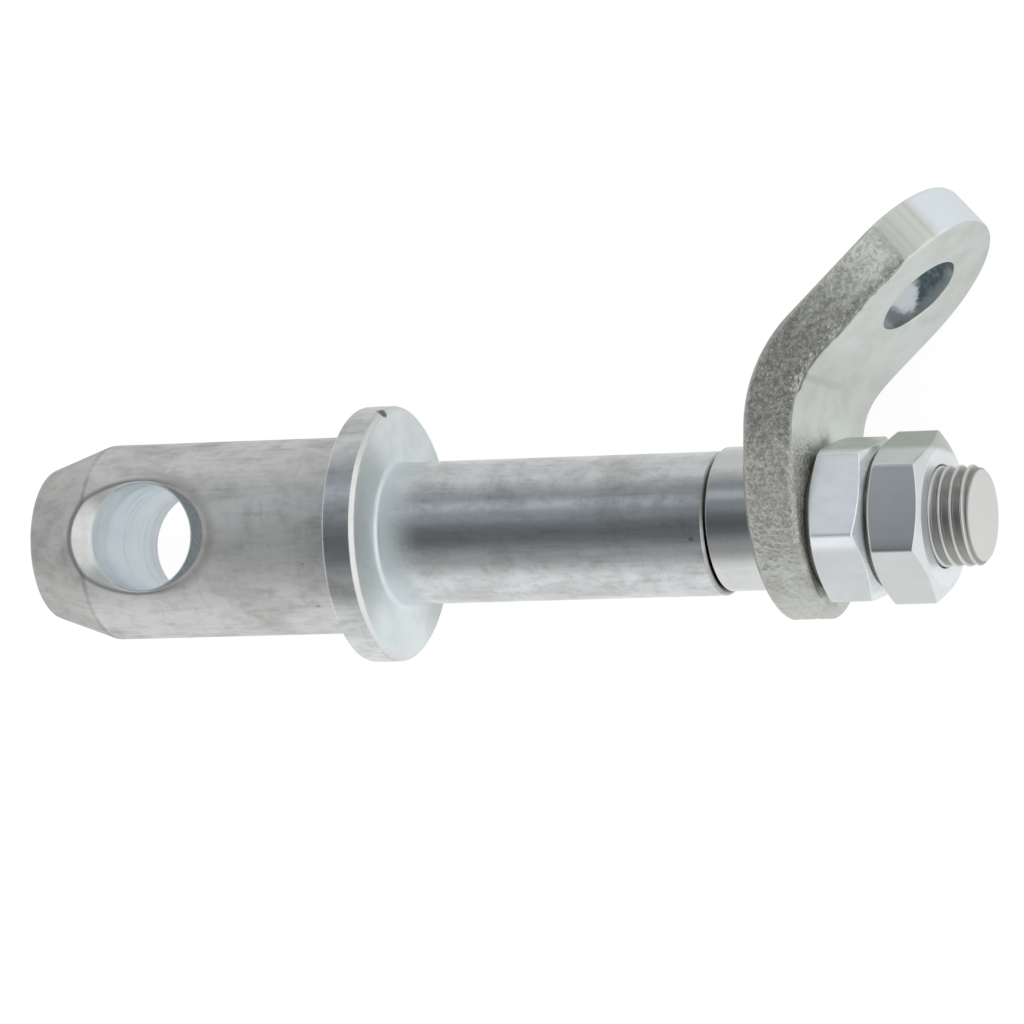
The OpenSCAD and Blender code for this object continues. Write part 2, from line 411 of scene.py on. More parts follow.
@dataclass(frozen=True)
class ZincFinish:
    """Zinc plating on smooth or turned steel, with stains, lathe lines, pits, painted highlights and painted
    shade.
    """

    name: str
    light: Colour = (0.70, 0.712, 0.715)
    satin: Colour = (0.68, 0.685, 0.675)
    cool: Colour = (0.86, 0.935, 0.95)
    # Colour of painted highlights.
    bright: Colour = (0.93, 0.925, 0.89)
    stain: Colour = (0.20, 0.195, 0.185)
    drilled: Colour = (0.88, 0.96, 1.0)
    # Colour of the painted shade.
    grime: Colour = (0.17, 0.16, 0.135)
    rust: Colour = (0.17, 0.15, 0.12)
    olive: Colour = (0.40, 0.45, 0.36)
    rough: float = 0.20
    rough_satin: float = 0.46
    rough_end: float = 0.0
    bare: float = 0.30
    clouds: float = 0.28
    streak: float = 0.13
    lathe: float = 0.10
    pits: float = 0.7
    bump_mm: float = 0.004
    seam_x: float | None = None
    nick_at: Place | None = None
    olive_y: float | None = None

    def make(self) -> bpy.types.Material:
        """Builds the material.

        Returns:
            A metal whose colour and roughness follow clouds, streaks along the pin, lathe lines
            round it and pits. It is satin, cool or drilled, with painted highlights and painted
            shade, where the mesh says so.
        """
        mat, s = new_material(self.name)
        where = s.place()
        satin = s.attribute(Mark.SATIN)
        drilled = s.attribute(Mark.DRILLED)
        plain = s.minus(1.0, s.most(drilled, s.attribute(Mark.THREADED)))
        clouds = s.noise(s.place((0.7, 1.0, 1.0)), 0.17, 5.0, 0.62, 0.6)
        smears = s.noise(s.place((0.6, 1.0, 1.0)), 0.8, 4.0, 0.62, 0.3)
        lines = s.noise(s.place((0.10, 1.6, 1.6)), 1.3, 4.0, 0.6)
        rounds = s.noise(s.place((1.0, 0.06, 0.06)), 2.2, 4.0, 0.65)
        fine = s.noise(where, 2.6, 3.0, 0.6)
        rings = s.noise(s.place((0.05, 0.05, 1.0)), 1.7, 5.0, 0.7)
        colour = s.mix(s.attribute(Mark.COOL), s.mix(satin, self.light, self.satin), self.cool)
        shade = s.plus(s.span(clouds, 0.40, 0.68), s.times(s.span(smears, 0.44, 0.70), 0.6))
        shade = s.times(shade, self.clouds)
        shade = s.plus(shade, s.times(s.span(lines, 0.50, 0.72), self.streak))
        shade = s.plus(shade, s.times(s.span(rounds, 0.50, 0.75), self.lathe))
        colour = s.mix(s.times(shade, plain), colour, self.stain)
        if self.seam_x is not None:
            colour = self.seam(s, where, clouds, plain, colour)
        # Painted shade: the flats on the +Y side past olive_y are mixed towards an olive grey.
        if self.olive_y is not None:
            side_shade = s.span(s.axis(where, "Y"), self.olive_y - 0.4, self.olive_y + 0.4, 0.0, 0.65)
            colour = s.mix(side_shade, colour, self.olive)
        ringed = s.mix(s.span(rings, 0.48, 0.74), self.drilled, tuple(0.78 * v for v in self.drilled))
        colour = s.mix(drilled, colour, ringed)
        spots = s.span(s.cells(s.place((0.7, 1.0, 1.0)), 0.42), 0.15, 0.04)
        spots = s.times(spots, s.span(s.noise(where, 0.21, 2.0), 0.56, 0.62))
        spots = s.times(spots, plain)
        colour = s.mix(s.times(spots, self.pits), colour, self.stain)
        # Painted highlights where the mesh's highlight mark is set.
        colour = s.mix(s.attribute(Mark.PAINTED_HIGHLIGHT), colour, self.bright)
        # Painted shade where the mesh's shade mark is set.
        colour = s.mix(s.attribute(Mark.PAINTED_SHADE), colour, self.grime)
        if self.nick_at is not None:
            nick = s.plus(s.far(where, self.nick_at), s.times(fine, 0.5))
            colour = s.mix(s.span(nick, 1.10, 0.7), colour, self.rust)
        vary = s.span(s.plus(clouds, smears), 0.8, 1.2, -0.04, 0.05)
        rough = s.plus(s.span(satin, 0.0, 1.0, self.rough, self.rough_satin), vary)
        rough = s.plus(rough, s.times(s.attribute(Mark.THREADED), self.rough_end))
        height = s.plus(s.times(fine, 0.4), s.times(rounds, 0.7))
        height = s.plus(s.times(height, plain), s.times(rings, drilled))
        normal = s.bump(s.minus(height, s.times(spots, 0.8)), self.bump_mm)
        metal = s.minus(1.0, s.times(satin, self.bare))
        s.show(s.add("ShaderNodeBsdfPrincipled", Base_Color=colour, Roughness=rough, Normal=normal,
                     Metallic=metal))
        return mat

    def seam(self, s: NodeSheet, where: Socket, clouds: Socket,
             plain: Socket, colour: Socket) -> Socket:
        """Darkens the nose and draws a dark line where its cone meets the head.

        Args:
            s: Node sheet of the material.
            where: Coordinates in mm.
            clouds: Large noise that breaks up the line.
            plain: Share of the surface that is neither drilled nor threaded.
            colour: Colour so far.

        Returns:
            The colour with the nose and the line.
        """
        x = s.axis(where, "X")
        nose = s.times(s.span(x, self.seam_x + 0.3, self.seam_x - 0.3, 0.0, 0.24), plain)
        off = s.sums(Sum.SIZE, s.minus(x, self.seam_x), 0.0)
        line = s.times(s.span(off, 0.45, 0.08), s.span(clouds, 0.30, 0.60, 0.12, 0.50))
        return s.mix(s.times(line, plain), s.mix(nose, colour, self.stain), self.grime)


@dataclass(frozen=True)
class ForgedFinish:
    """Zinc over a forging: smooth blotched faces with painted shade, and rough edges with painted
    glints where the mesh says so.
    """

    name: str
    face: Colour = (0.77, 0.825, 0.795)
    blotch: Colour = (0.69, 0.725, 0.685)
    scale: Colour = (0.52, 0.52, 0.48)
    pit: Colour = (0.31, 0.305, 0.275)
    pale_scale: Colour = (0.88, 0.92, 0.865)
    pale_pit: Colour = (0.56, 0.58, 0.53)
    # Colour of painted glints.
    painted_glint: Colour = (0.95, 0.95, 0.91)
    wall: Colour = (0.48, 0.53, 0.55)
    shade: Colour = (0.26, 0.32, 0.34)
    deep_shade: Colour = (0.13, 0.18, 0.20)
    gleam: Colour = (0.90, 0.96, 1.0)
    # Colour of painted shade on the faces.
    painted_face_shade: Colour = (0.30, 0.30, 0.265)
    ground: Colour = (0.77, 0.80, 0.75)
    streak: Colour = (0.64, 0.625, 0.57)
    tip: Colour = (0.83, 0.905, 0.94)
    rough_face: float = 0.32
    rough_cast: float = 0.26
    bump_mm: float = 0.22
    crease_at: float = 0.37
    gleam_at: Place = (58.5, 24.8, -4.7)
    shade_x: float = 59.7

    def make(self) -> bpy.types.Material:
        """Builds the material.

        Returns:
            A metal that goes from a smooth face to a pitted scale with painted glints as the CAST
            value rises, whose paleness is the COOL value, to a ground end by the SATIN value and to
            the eye's wall, painted with shade and a highlight, by the mark of that wall.
        """
        mat, s = new_material(self.name)
        where = s.place()
        cast = s.attribute(Mark.CAST)
        satin = s.attribute(Mark.SATIN)
        # The eye's wall, painted with shade and a highlight, where this mark is set.
        wall = s.attribute(Mark.PAINTED_SHADE)
        run = s.attribute(Mark.RUN)
        clouds = s.noise(where, 0.25, 3.0, 0.55, 0.2)
        grain = s.noise(where, 2.3, 3.0, 0.6)
        pale = s.attribute(Mark.COOL)
        dust = s.noise(where, 5.0, 2.0, 0.5)
        pebbles = s.cells(where, 2.0)
        # Painted glints: small bright spots on the rough scale.
        painted_glints = s.span(pebbles, 0.36, 0.16)
        painted_glints = s.times(s.times(painted_glints, s.span(dust, 0.46, 0.64)), cast)
        coarse = s.noise(s.place((1.0, 1.0, 0.7)), 1.05, 2.0, 0.5)
        raised = s.span(s.plus(s.times(grain, 0.8), s.times(coarse, 0.2)), 0.36, 0.62)
        dark_scale = s.mix(raised, self.pit, self.scale)
        scale = s.mix(pale, dark_scale, s.mix(raised, self.pale_pit, self.pale_scale))
        scale = s.mix(s.times(painted_glints, 0.75), scale, self.painted_glint)
        colour = s.mix(cast, self.smooth_face(s, where, run, clouds, dust), scale)
        # Painted shade: the foot is darker on the -Y side of the pin's axis.
        colour = s.mix(s.span(run, -0.02, -0.26, 0.0, 0.28), colour, self.painted_face_shade)
        frayed = s.plus(s.span(clouds, 0.3, 0.7, -0.3, 0.3), s.span(grain, 0.3, 0.7, -0.2, 0.2))
        rubbed = s.plus(satin, frayed)
        rubbed = s.times(s.span(rubbed, 0.35, 0.65), s.span(satin, 0.02, 0.2))
        colour = s.mix(rubbed, colour, self.ground_end(s, run, grain, clouds))
        gleam = self.gleam_share(s, where, grain)
        colour = s.mix(wall, colour, self.eye_wall(s, where, grain, gleam))
        rough = s.plus(s.span(cast, 0.0, 1.0, self.rough_face, self.rough_cast), s.times(satin, 0.12))
        shown = s.span(s.most(cast, s.times(wall, 0.10)), 0.0, 1.0, 0.015, 1.0)
        height = s.minus(s.plus(grain, coarse), s.times(pebbles, 0.3))
        normal = s.bump(s.times(height, shown), self.bump_mm)
        dull = s.most(s.span(pale, 0.0, 1.0, 0.15, 0.6), s.span(run, 0.26, 0.12, 0.0, 0.52))
        bare = s.most(s.times(satin, 0.5), s.times(cast, dull))
        bare_wall = s.times(wall, s.span(gleam, 0.0, 1.0, 0.35, 0.85))
        metal = s.minus(1.0, s.most(bare, bare_wall))
        s.show(s.add("ShaderNodeBsdfPrincipled", Base_Color=colour, Roughness=rough, Normal=normal,
                     Metallic=metal))
        return mat

    def ground_end(self, s: NodeSheet, run: Socket, grain: Socket,
                   clouds: Socket) -> Socket:
        """Colours the ground end of the edge: soft strokes across it, then a cool clean tip.

        Args:
            s: Node sheet of the material.
            run: Place along the bar.
            grain: Small noise that bends the strokes.
            clouds: Large noise that bends the tip's limit.

        Returns:
            The colour.
        """
        bent_run = s.plus(run, s.times(grain, 0.012))
        stripes = s.noise(s.add("ShaderNodeCombineXYZ", X=bent_run).outputs[0], 45.0, 3.0, 0.55)
        strokes = s.mix(s.span(stripes, 0.42, 0.70), self.ground, self.streak)
        limit = s.plus(run, s.times(clouds, 0.04))
        return s.mix(s.span(limit, 0.91, 0.94), strokes, self.tip)

    def gleam_share(self, s: NodeSheet, where: Socket,
                    grain: Socket) -> Socket:
        """How much of the gleam is at a place on the wall of the eye.

        Args:
            s: Node sheet of the material.
            where: Coordinates in mm.
            grain: Small noise that frays the gleam.

        Returns:
            The share, from 0 to 1.
        """
        reach = s.plus(s.far(where, self.gleam_at), s.times(grain, 2.0))
        side = s.plus(s.axis(where, "X"), s.times(grain, 1.2))
        return s.times(s.span(reach, 3.6, 2.2), s.span(side, self.shade_x + 1.0, self.shade_x + 0.2))

    def eye_wall(self, s: NodeSheet, where: Socket, grain: Socket,
                 gleam: Socket) -> Socket:
        """Colours the wall of the eye: grey, with a painted highlight (the gleam) and blotched painted
        shade on the side beyond it.

        Args:
            s: Node sheet of the material.
            where: Coordinates in mm.
            grain: Small noise that frays the dark side.
            gleam: Share of the gleam.

        Returns:
            The colour.
        """
        side = s.plus(s.axis(where, "X"), s.times(grain, 1.2))
        dark = s.mix(s.span(s.noise(where, 1.1, 3.0, 0.6), 0.40, 0.62), self.deep_shade, self.shade)
        colour = s.mix(s.span(side, self.shade_x + 0.2, self.shade_x + 1.0), self.wall, dark)
        return s.mix(gleam, colour, self.gleam)

    def smooth_face(self, s: NodeSheet, where: Socket, run: Socket,
                    clouds: Socket, dust: Socket) -> Socket:
        """Colours the faces: soft blotches, painted shade across the bend and in a faint crease there,
        and a painted shadow around the nut.

        Args:
            s: Node sheet of the material.
            where: Coordinates in mm.
            run: Place along the bar.
            clouds: Large noise of the blotches.
            dust: Fine noise.

        Returns:
            The colour.
        """
        face = s.mix(s.span(clouds, 0.36, 0.70), self.face, self.blotch)
        face = s.mix(s.span(dust, 0.50, 0.75, 0.0, 0.25), face, self.blotch)
        from_bend = s.sums(Sum.SIZE, s.minus(run, self.crease_at), 0.0)
        # Painted shade across the bend.
        face = s.mix(s.span(from_bend, 0.16, 0.04, 0.0, 0.14), face, self.painted_face_shade)
        # Painted shade in a faint crease along the bend, stronger towards +Z.
        crease = s.span(s.axis(where, "Z"), -4.0, 5.0, 0.0, 0.26)
        crease = s.times(s.span(from_bend, 0.018, 0.002), crease)
        # Painted shadow on the face in a ring just outside the nut.
        ring = s.far(s.place((0.0, 1.0, 1.0)), (0.0, 0.0, 0.0))
        ring = s.times(s.span(ring, 10.6, 8.6), s.span(clouds, 0.35, 0.60, 0.15, 0.7))
        return s.mix(s.most(crease, ring), face, self.painted_face_shade)


# Pieces


@dataclass
class TurnedPin:
    """The turned pin: nose cone, cross-drilled head, collar, shank and threaded stud. Sizes in mm."""

    nose_x: float = -41.7
    nose_r: float = 8.4
    nose_len: float = 7.4
    nose_round: float = 1.2
    head_r: float = 11.0
    collar_x: float = -3.2
    collar_r: float = 14.3
    collar_face_x: float = 0.6
    collar_bevel: float = 0.5
    collar_lip: float = 0.6
    root_r: float = 0.6
    shank_r: float = 7.95
    shank_x: float = 39.5
    shank_bevel: float = 0.35
    stud_r: float = 5.55
    stud_x: float = 69.2
    stud_bevel: float = 0.6
    neck_r: float = 5.3
    nut_face_x: float = 64.7
    thread_from: float = 63.2
    thread_pitch: float = 1.30
    crest_x: float = 68.45
    thread_depth: float = 0.36
    hole_x: float = -27.6
    hole_r: float = 6.05
    sink: float = 2.3
    sink_r: float = 8.8
    hole_turn: float = -2.0
    edge_round: float = 0.42
    edge_worn: float = 0.30
    halvings: int = 50
    mouth_half: float = 10.3
    around: int = 192
    mouth_cols: int = 40
    mouth_rows: int = 88

    def axes(self, turn: np.ndarray) -> np.ndarray:
        """Outward directions: cos(turn) of the hole's direction plus sin(turn) of the one square to it.

        Args:
            turn: Angles about the pin's axis, counted from the hole's own direction.

        Returns:
            One unit vector for each angle.
        """
        tilt = math.radians(-self.hole_turn)
        up = np.array([0.0, -math.sin(tilt), math.cos(tilt)])
        side = np.array([0.0, -up[2], up[1]])
        return np.cos(turn)[..., None] * up + np.sin(turn)[..., None] * side

    def head_radius(self, x: np.ndarray) -> np.ndarray:
        """Radius of the head: a cone, a small round and then a cylinder.

        Args:
            x: Stations along the axis.

        Returns:
            The radius at each station.
        """
        slope = (self.head_r - self.nose_r) / self.nose_len
        cone = math.atan(slope)
        edge_x = self.nose_x + self.nose_len + self.nose_round * math.tan(cone / 2.0)
        arc_x = edge_x - self.nose_round * math.sin(cone)
        arc = self.head_r - self.nose_round + np.sqrt(np.maximum(self.nose_round**2 - (x - edge_x) ** 2, 0.0))
        line = self.nose_r + (x - self.nose_x) * slope
        return np.where(x < arc_x, line, np.where(x < edge_x, arc, self.head_r))

    def turned(self, outline: np.ndarray, turn: np.ndarray) -> np.ndarray:
        """Carries an outline round the axis: x stays, the radius turns.

        Args:
            outline: Points (x, radius).
            turn: Angles about the axis.

        Returns:
            A grid with a row for each point and a column for each angle.
        """
        points = outline[:, None, 1, None] * self.axes(turn)[None]
        points[..., 0] += outline[:, None, 0]
        return points

    def on_head(self, x: np.ndarray, turn: np.ndarray) -> np.ndarray:
        """Points of the head's surface: the head's radius in the direction of each angle.

        Args:
            x: Stations along the axis.
            turn: Angles about it.

        Returns:
            One point for each station and angle.
        """
        points = self.head_radius(x)[..., None] * self.axes(turn)
        points[..., 0] += x
        return points

    def mouth_ring(self) -> tuple[np.ndarray, np.ndarray]:
        """Goes round the four-sided border of one mouth of the cross hole.

        Returns:
            The stations and the angles of the border's points.
        """
        step = 2.0 * math.pi / self.around
        side = np.arange(-self.mouth_cols, self.mouth_cols) * step
        end = self.mouth_cols * step
        low, high = self.hole_x - self.mouth_half, self.hole_x + self.mouth_half
        run = np.linspace(low, high, self.mouth_rows + 1)[:-1]
        x = np.concatenate([np.full(side.size, low), run, np.full(side.size, high), (low + high) - run])
        turn = np.concatenate([side, np.full(run.size, end), -side, np.full(run.size, -end)])
        return x, turn

    def satin(self, points: np.ndarray) -> np.ndarray:
        """How satin the surface is: most at the nose, less towards the collar, little on the shank.

        Args:
            points: Places in mm.

        Returns:
            The SATIN value at each place.
        """
        x = points[..., 0]
        head = 1.0 - 0.24 * smooth_step(x, -24.0, -4.0)
        return np.where(x < self.collar_x + 0.05, head, 0.12)

    @property
    def seat(self) -> float:
        """Distance of the countersink's inner end from the pin's axis."""
        return self.head_r - self.sink

    @property
    def widen(self) -> float:
        """How much wider the countersink gets with each mm of height."""
        return (self.sink_r - self.hole_r) / self.sink

    def sink_height(self, way: np.ndarray) -> np.ndarray:
        """Height above its seat at which the countersink meets the head.

        Each straight line of the countersink is followed out to where its distance from the
        pin's axis is the head's radius there, by halving the span that holds that place.

        Args:
            way: Directions about the hole's axis.

        Returns:
            The height in mm for each direction.
        """
        low, high = np.zeros_like(way), np.full_like(way, 4.0)
        for _ in range(self.halvings):
            mid = 0.5 * (low + high)
            out = self.hole_r + self.widen * mid
            head_r = self.head_radius(self.hole_x + out * np.cos(way))
            past = np.hypot(out * np.sin(way), self.seat + mid) > head_r
            low, high = np.where(past, low, mid), np.where(past, mid, high)
        return low

    def hole_wall(self, way: np.ndarray, inner: np.ndarray) -> tuple[np.ndarray, np.ndarray, np.ndarray]:
        """Countersink and wall of the hole, from below the rounded edge to the middle of the hole.

        Args:
            way: Directions about the hole's axis.
            inner: Height above its seat at which the countersink starts, for each direction.

        Returns:
            A grid of points, and the distance of each row from the hole's axis and from the pin's.
        """
        slant = np.linspace(1.0, 0.0, 8)[:, None] * inner
        slant = np.concatenate([slant[:-1], np.minimum(0.06, 0.3 * inner)[None], slant[-1:]])
        depth = self.seat - np.concatenate([[0.08], np.linspace(0.3, self.seat, 26)])
        straight = np.full((depth.size, way.size), self.hole_r)
        reach = np.concatenate([self.hole_r + self.widen * slant, straight])
        height = np.concatenate([self.seat + slant, np.repeat(depth[:, None], way.size, 1)])
        up, across = self.axes(np.array(0.0)), self.axes(np.array(math.pi / 2.0))
        wall = (reach * np.sin(way))[..., None] * across + height[..., None] * up
        wall[..., 0] += self.hole_x + reach * np.cos(way)
        return wall, reach, height

    def mouth(self) -> tuple[np.ndarray, np.ndarray, dict[str, np.ndarray], dict[str, np.ndarray]]:
        """Works out one mouth of the cross hole and half of its wall.

        The patch of the head runs in straight lines of station and angle from the hole's edge to
        the border. The edge is rounded by a curve that is pulled to the sharp corner: its points
        are (1 - w)^2 of the patch's first row, 2w(1 - w) of the corner and w^2 of the wall's.

        Returns:
            The patch of the head's surface, then the rounded edge, countersink and wall down to
            the middle of the hole, both as grids with one column for each direction, and the
            marks of both grids.
        """
        ring_x, ring_turn = self.mouth_ring()
        way = np.arctan2(self.head_radius(ring_x) * np.sin(ring_turn), ring_x - self.hole_x)
        rise = self.sink_height(way)
        out = self.hole_r + self.widen * rise
        edge_x = self.hole_x + out * np.cos(way)
        edge_turn = np.arctan2(out * np.sin(way), self.seat + rise)
        gap = np.hypot(ring_x - edge_x, self.head_r * (ring_turn - edge_turn))
        side = smooth_step(np.cos(way), 0.0, 0.8)
        soft = self.edge_round + self.edge_worn * side
        start = soft / gap
        t = start + (1.0 - start) * np.linspace(0.0, 1.0, 22)[:, None] ** 1.5
        patch = self.on_head(edge_x + (ring_x - edge_x) * t, edge_turn + (ring_turn - edge_turn) * t)
        corner = self.on_head(edge_x, edge_turn)
        wall, reach, height = self.hole_wall(way, rise - np.minimum(0.6 * soft, 0.4 * rise))
        w = np.linspace(0.0, 1.0, 7)[:, None, None]
        lip = (1.0 - w) ** 2 * patch[0] + 2.0 * w * (1.0 - w) * corner + w**2 * wall[0]
        at_head = np.full(lip.shape[:2], self.head_r)
        # Painted shade on the head round the mouth, on the collar's side, fading outwards.
        rim_grime = 0.30 * side * (1.0 - smooth_step(t * gap, 0.5, 1.8))
        head = {"satin": self.satin(patch), "grime": rim_grime}
        reach, height = (np.concatenate([at_head, rows[1:]]) for rows in (reach, height))
        inside = self.hole_marks(way, reach, height)
        w = np.concatenate([w[:, :, 0], np.ones((len(reach) - len(lip), 1))])
        first = {key: value[0] for key, value in head.items()}
        inside = {key: (1.0 - w) * first.get(key, 0.0) + w * value for key, value in inside.items()}
        # Painted shade along the middle of the rounded lip on the nose's side.
        inside["grime"] = inside["grime"] + 1.3 * w * (1.0 - w) * (1.0 - side)
        return patch, np.concatenate([lip, wall[1:]]), head, inside

    def hole_marks(self, way: np.ndarray, reach: np.ndarray, height: np.ndarray) -> dict[str, np.ndarray]:
        """Marks inside the mouth: painted shade on the countersink's collar side, a painted highlight
        on its nose side, drilled wall.

        Args:
            way: Directions about the hole's axis.
            reach: Distance of each point from the hole's axis.
            height: Distance of each point from the pin's axis, along the hole.

        Returns:
            The marks by their names.
        """
        side = smooth_step(np.cos(way), 0.0, 0.8)
        drilled = smooth_step(self.hole_r + 0.25 - reach, 0.0, 0.2)
        # Painted shade on the drilled wall towards the mouth.
        mouth_grime = 0.22 * smooth_step(height, 3.0, self.seat) * drilled
        # Painted shade on the countersink's collar side, a painted highlight on its nose side.
        return {"satin": 0.30 + 0.70 * drilled, "drilled": drilled, "threaded": 0.7 + 0.3 * drilled,
                "grime": np.maximum(0.42 * side * (1.0 - drilled), mouth_grime),
                "bright": 0.20 * (1.0 - drilled) * smooth_step(-np.cos(way), -0.2, 0.3)}

    def body_marks(self, path: np.ndarray, turned: np.ndarray) -> dict[str, np.ndarray]:
        """Marks from head to stud: satin head, pale collar face, a painted highlight on the bevel,
        and painted shade in the groove and on the collar's face.

        Args:
            path: Points (x, radius) of the outline.
            turned: The same outline carried round the axis.

        Returns:
            The marks by their names.
        """
        x, r = path[:, :1], path[:, 1:]
        face, lip = self.collar_face_x, self.collar_r - self.collar_lip
        pale = smooth_step(x, face - 0.1, face) * (1.0 - smooth_step(x, face + 1.0, face + 6.0))
        bevel = smooth_step(x, face - self.collar_bevel, face - 0.6 * self.collar_bevel)
        bevel = bevel * smooth_step(r, lip - 0.05, lip + 0.15)
        # Painted highlight on the collar's bevel, stronger where it faces up or down.
        toward = np.abs(turned[..., 2]) / r
        painted_bevel_highlight = 0.15 + 0.40 * smooth_step(toward, 0.1, 0.9)
        # Painted shade on the collar's face where it faces up or down.
        shaded = smooth_step(r, self.shank_r + 0.3, self.shank_r + 0.8) * smooth_step(toward, 0.45, 0.9)
        shaded = shaded * smooth_step(x, face - 0.1, face) * (1.0 - bevel)
        cool = np.where(x < self.collar_x, 0.0, np.maximum(pale, 0.25))
        # Painted shade in the groove where the shank meets the ring.
        gap = 0.35 * smooth_step(x, self.shank_x - 0.5, self.shank_x - 0.3)
        gap = gap + 0.65 * smooth_step(x, self.shank_x - 0.12, self.shank_x - 0.03)
        satin = np.maximum(np.maximum(self.satin(path[:, None]), 0.8 * pale), 0.4 * bevel)
        return {"satin": satin, "cool": cool, "threaded": np.maximum(0.75 * pale, bevel),
                "bright": bevel * painted_bevel_highlight, "grime": np.maximum(gap, 0.34 * shaded)}

    def thread(self, turn: np.ndarray) -> np.ndarray:
        """The threaded end of the stud.

        The radius is the crest's, less a flat-bottomed groove whose phase is the station minus
        one pitch for each turn, and never more than the 45 degree bevel at the end.

        Args:
            turn: Angles about the pin's axis.

        Returns:
            A grid of points from inside the lock nut to the end face's edge.
        """
        x = np.linspace(self.thread_from, self.stud_x, 150)[:, None]
        pitch = self.thread_pitch
        phase = ((x - self.crest_x) / pitch - turn / (2.0 * math.pi)) % 1.0
        from_crest = np.minimum(phase, 1.0 - phase)
        depth = self.thread_depth * smooth_step(from_crest, 0.03, 0.27)
        depth = depth * smooth_step(x, self.nut_face_x - 0.1, self.nut_face_x + 0.4)
        bevel = self.stud_r - self.stud_bevel + (self.stud_x - x)
        radius = np.minimum(self.stud_r - depth, bevel)
        points = radius[..., None] * self.axes(np.broadcast_to(turn, radius.shape))
        points[..., 0] += x
        return points

    def add_head(self, shell: Shell, turn: np.ndarray) -> None:
        """Adds the nose, the head's two plain strips and the two mouths with half of the hole each.

        Args:
            shell: Shell to add to.
            turn: Angles about the pin's axis.
        """
        left, right = self.hole_x - self.mouth_half, self.hole_x + self.mouth_half
        left_r = float(self.head_radius(np.array(left)))
        nose = np.array([[self.nose_x, 0.0], [self.nose_x, self.nose_r * 0.6],
                         [self.nose_x, self.nose_r], [left, left_r]])
        shell.add_grid(self.turned(fillet_path(nose, [0, 0, 0.7, 0]), turn), True, satin=1.0)
        step = 2.0 * math.pi / self.around
        gap = np.arange(self.mouth_cols, self.around // 2 - self.mouth_cols + 1) * step
        rows = np.linspace(left, right, self.mouth_rows + 1)[:, None]
        patch, wall, head_marks, wall_marks = self.mouth()
        for half, flip in ((0.0, np.array([1.0, 1.0, 1.0])), (math.pi, np.array([1.0, -1.0, -1.0]))):
            strip = self.on_head(*np.broadcast_arrays(rows, gap + half))
            shell.add_grid(strip, False, satin=self.satin(strip))
            shell.add_grid(patch * flip, True, **head_marks)
            shell.add_grid(wall * flip, True, **wall_marks)

    def add_body(self, shell: Shell, turn: np.ndarray) -> np.ndarray:
        """Adds the rest of the head, the collar, the shank and the neck inside ring, lug and nuts.

        Args:
            shell: Shell to add to.
            turn: Angles about the pin's axis.

        Returns:
            The last row of points.
        """
        face = self.collar_face_x
        body = np.array([[self.hole_x + self.mouth_half, self.head_r], [self.collar_x, self.head_r],
                         [self.collar_x, self.collar_r], [face - self.collar_bevel, self.collar_r],
                         [face, self.collar_r - self.collar_lip],
                         [face, self.shank_r], [6.0, self.shank_r],
                         [self.shank_x - self.shank_bevel, self.shank_r],
                         [self.shank_x, self.shank_r - self.shank_bevel], [self.shank_x, self.neck_r],
                         [self.thread_from - 0.4, self.neck_r]])
        path = fillet_path(body, [0, 0.3, 0.35, 0.35, 0.4, self.root_r, 0, 0.12, 0.08, 0.1, 0])
        turned = self.turned(path, turn)
        shell.add_grid(turned, True, **self.body_marks(path, turned))
        return turned[-1:]

    def add_stud(self, shell: Shell, turn: np.ndarray, before: np.ndarray) -> None:
        """Adds the thread, with painted shade in its valleys and painted highlights on its crests,
        and the end face.

        Args:
            shell: Shell to add to.
            turn: Angles about the pin's axis.
            before: Row of points that the thread goes on from.
        """
        thread = self.thread(turn)
        neck = np.concatenate([before, thread[:1]])
        # The neck, hidden inside ring, lug and nuts, is painted fully in shade.
        shell.add_grid(neck, True, satin=0.5, grime=1.0, threaded=1.0)
        low = self.stud_r - np.linalg.norm(thread[..., 1:], axis=-1)
        before_end = 1.0 - smooth_step(thread[..., 0], self.stud_x - 0.14, self.stud_x - 0.02)
        # Painted shade in the thread's valleys and painted highlights on its crests.
        valley_shade = 0.68 * smooth_step(low, 0.08, 0.30) * before_end
        crest_highlight = 0.2 * (1.0 - smooth_step(low, 0.0, 0.08))
        shell.add_grid(thread, True, satin=0.5, threaded=1.0, grime=valley_shade, bright=crest_highlight)
        end_r = self.stud_r - self.stud_bevel
        end = np.array([[self.stud_x, end_r - 0.1], [self.stud_x, 3.0], [self.stud_x, 0.0]])
        cap = np.concatenate([thread[-1:], self.turned(end, turn)])
        # Painted highlight on the stud's bevelled end and end face.
        shell.add_grid(cap, True, satin=0.9, threaded=1.0, bright=0.35)

    def build(self) -> bpy.types.Object:
        """Builds the pin's mesh from nose to thread and lets it stand for the pin's solid.

        Returns:
            The new object.
        """
        shell = Shell("turned_pin")
        turn = round_turns(self.around)
        self.add_head(shell, turn)
        last = self.add_body(shell, turn)
        self.add_stud(shell, turn, last)
        piece = shell.build()
        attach(piece, BODY)
        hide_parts("pin_body")
        return piece


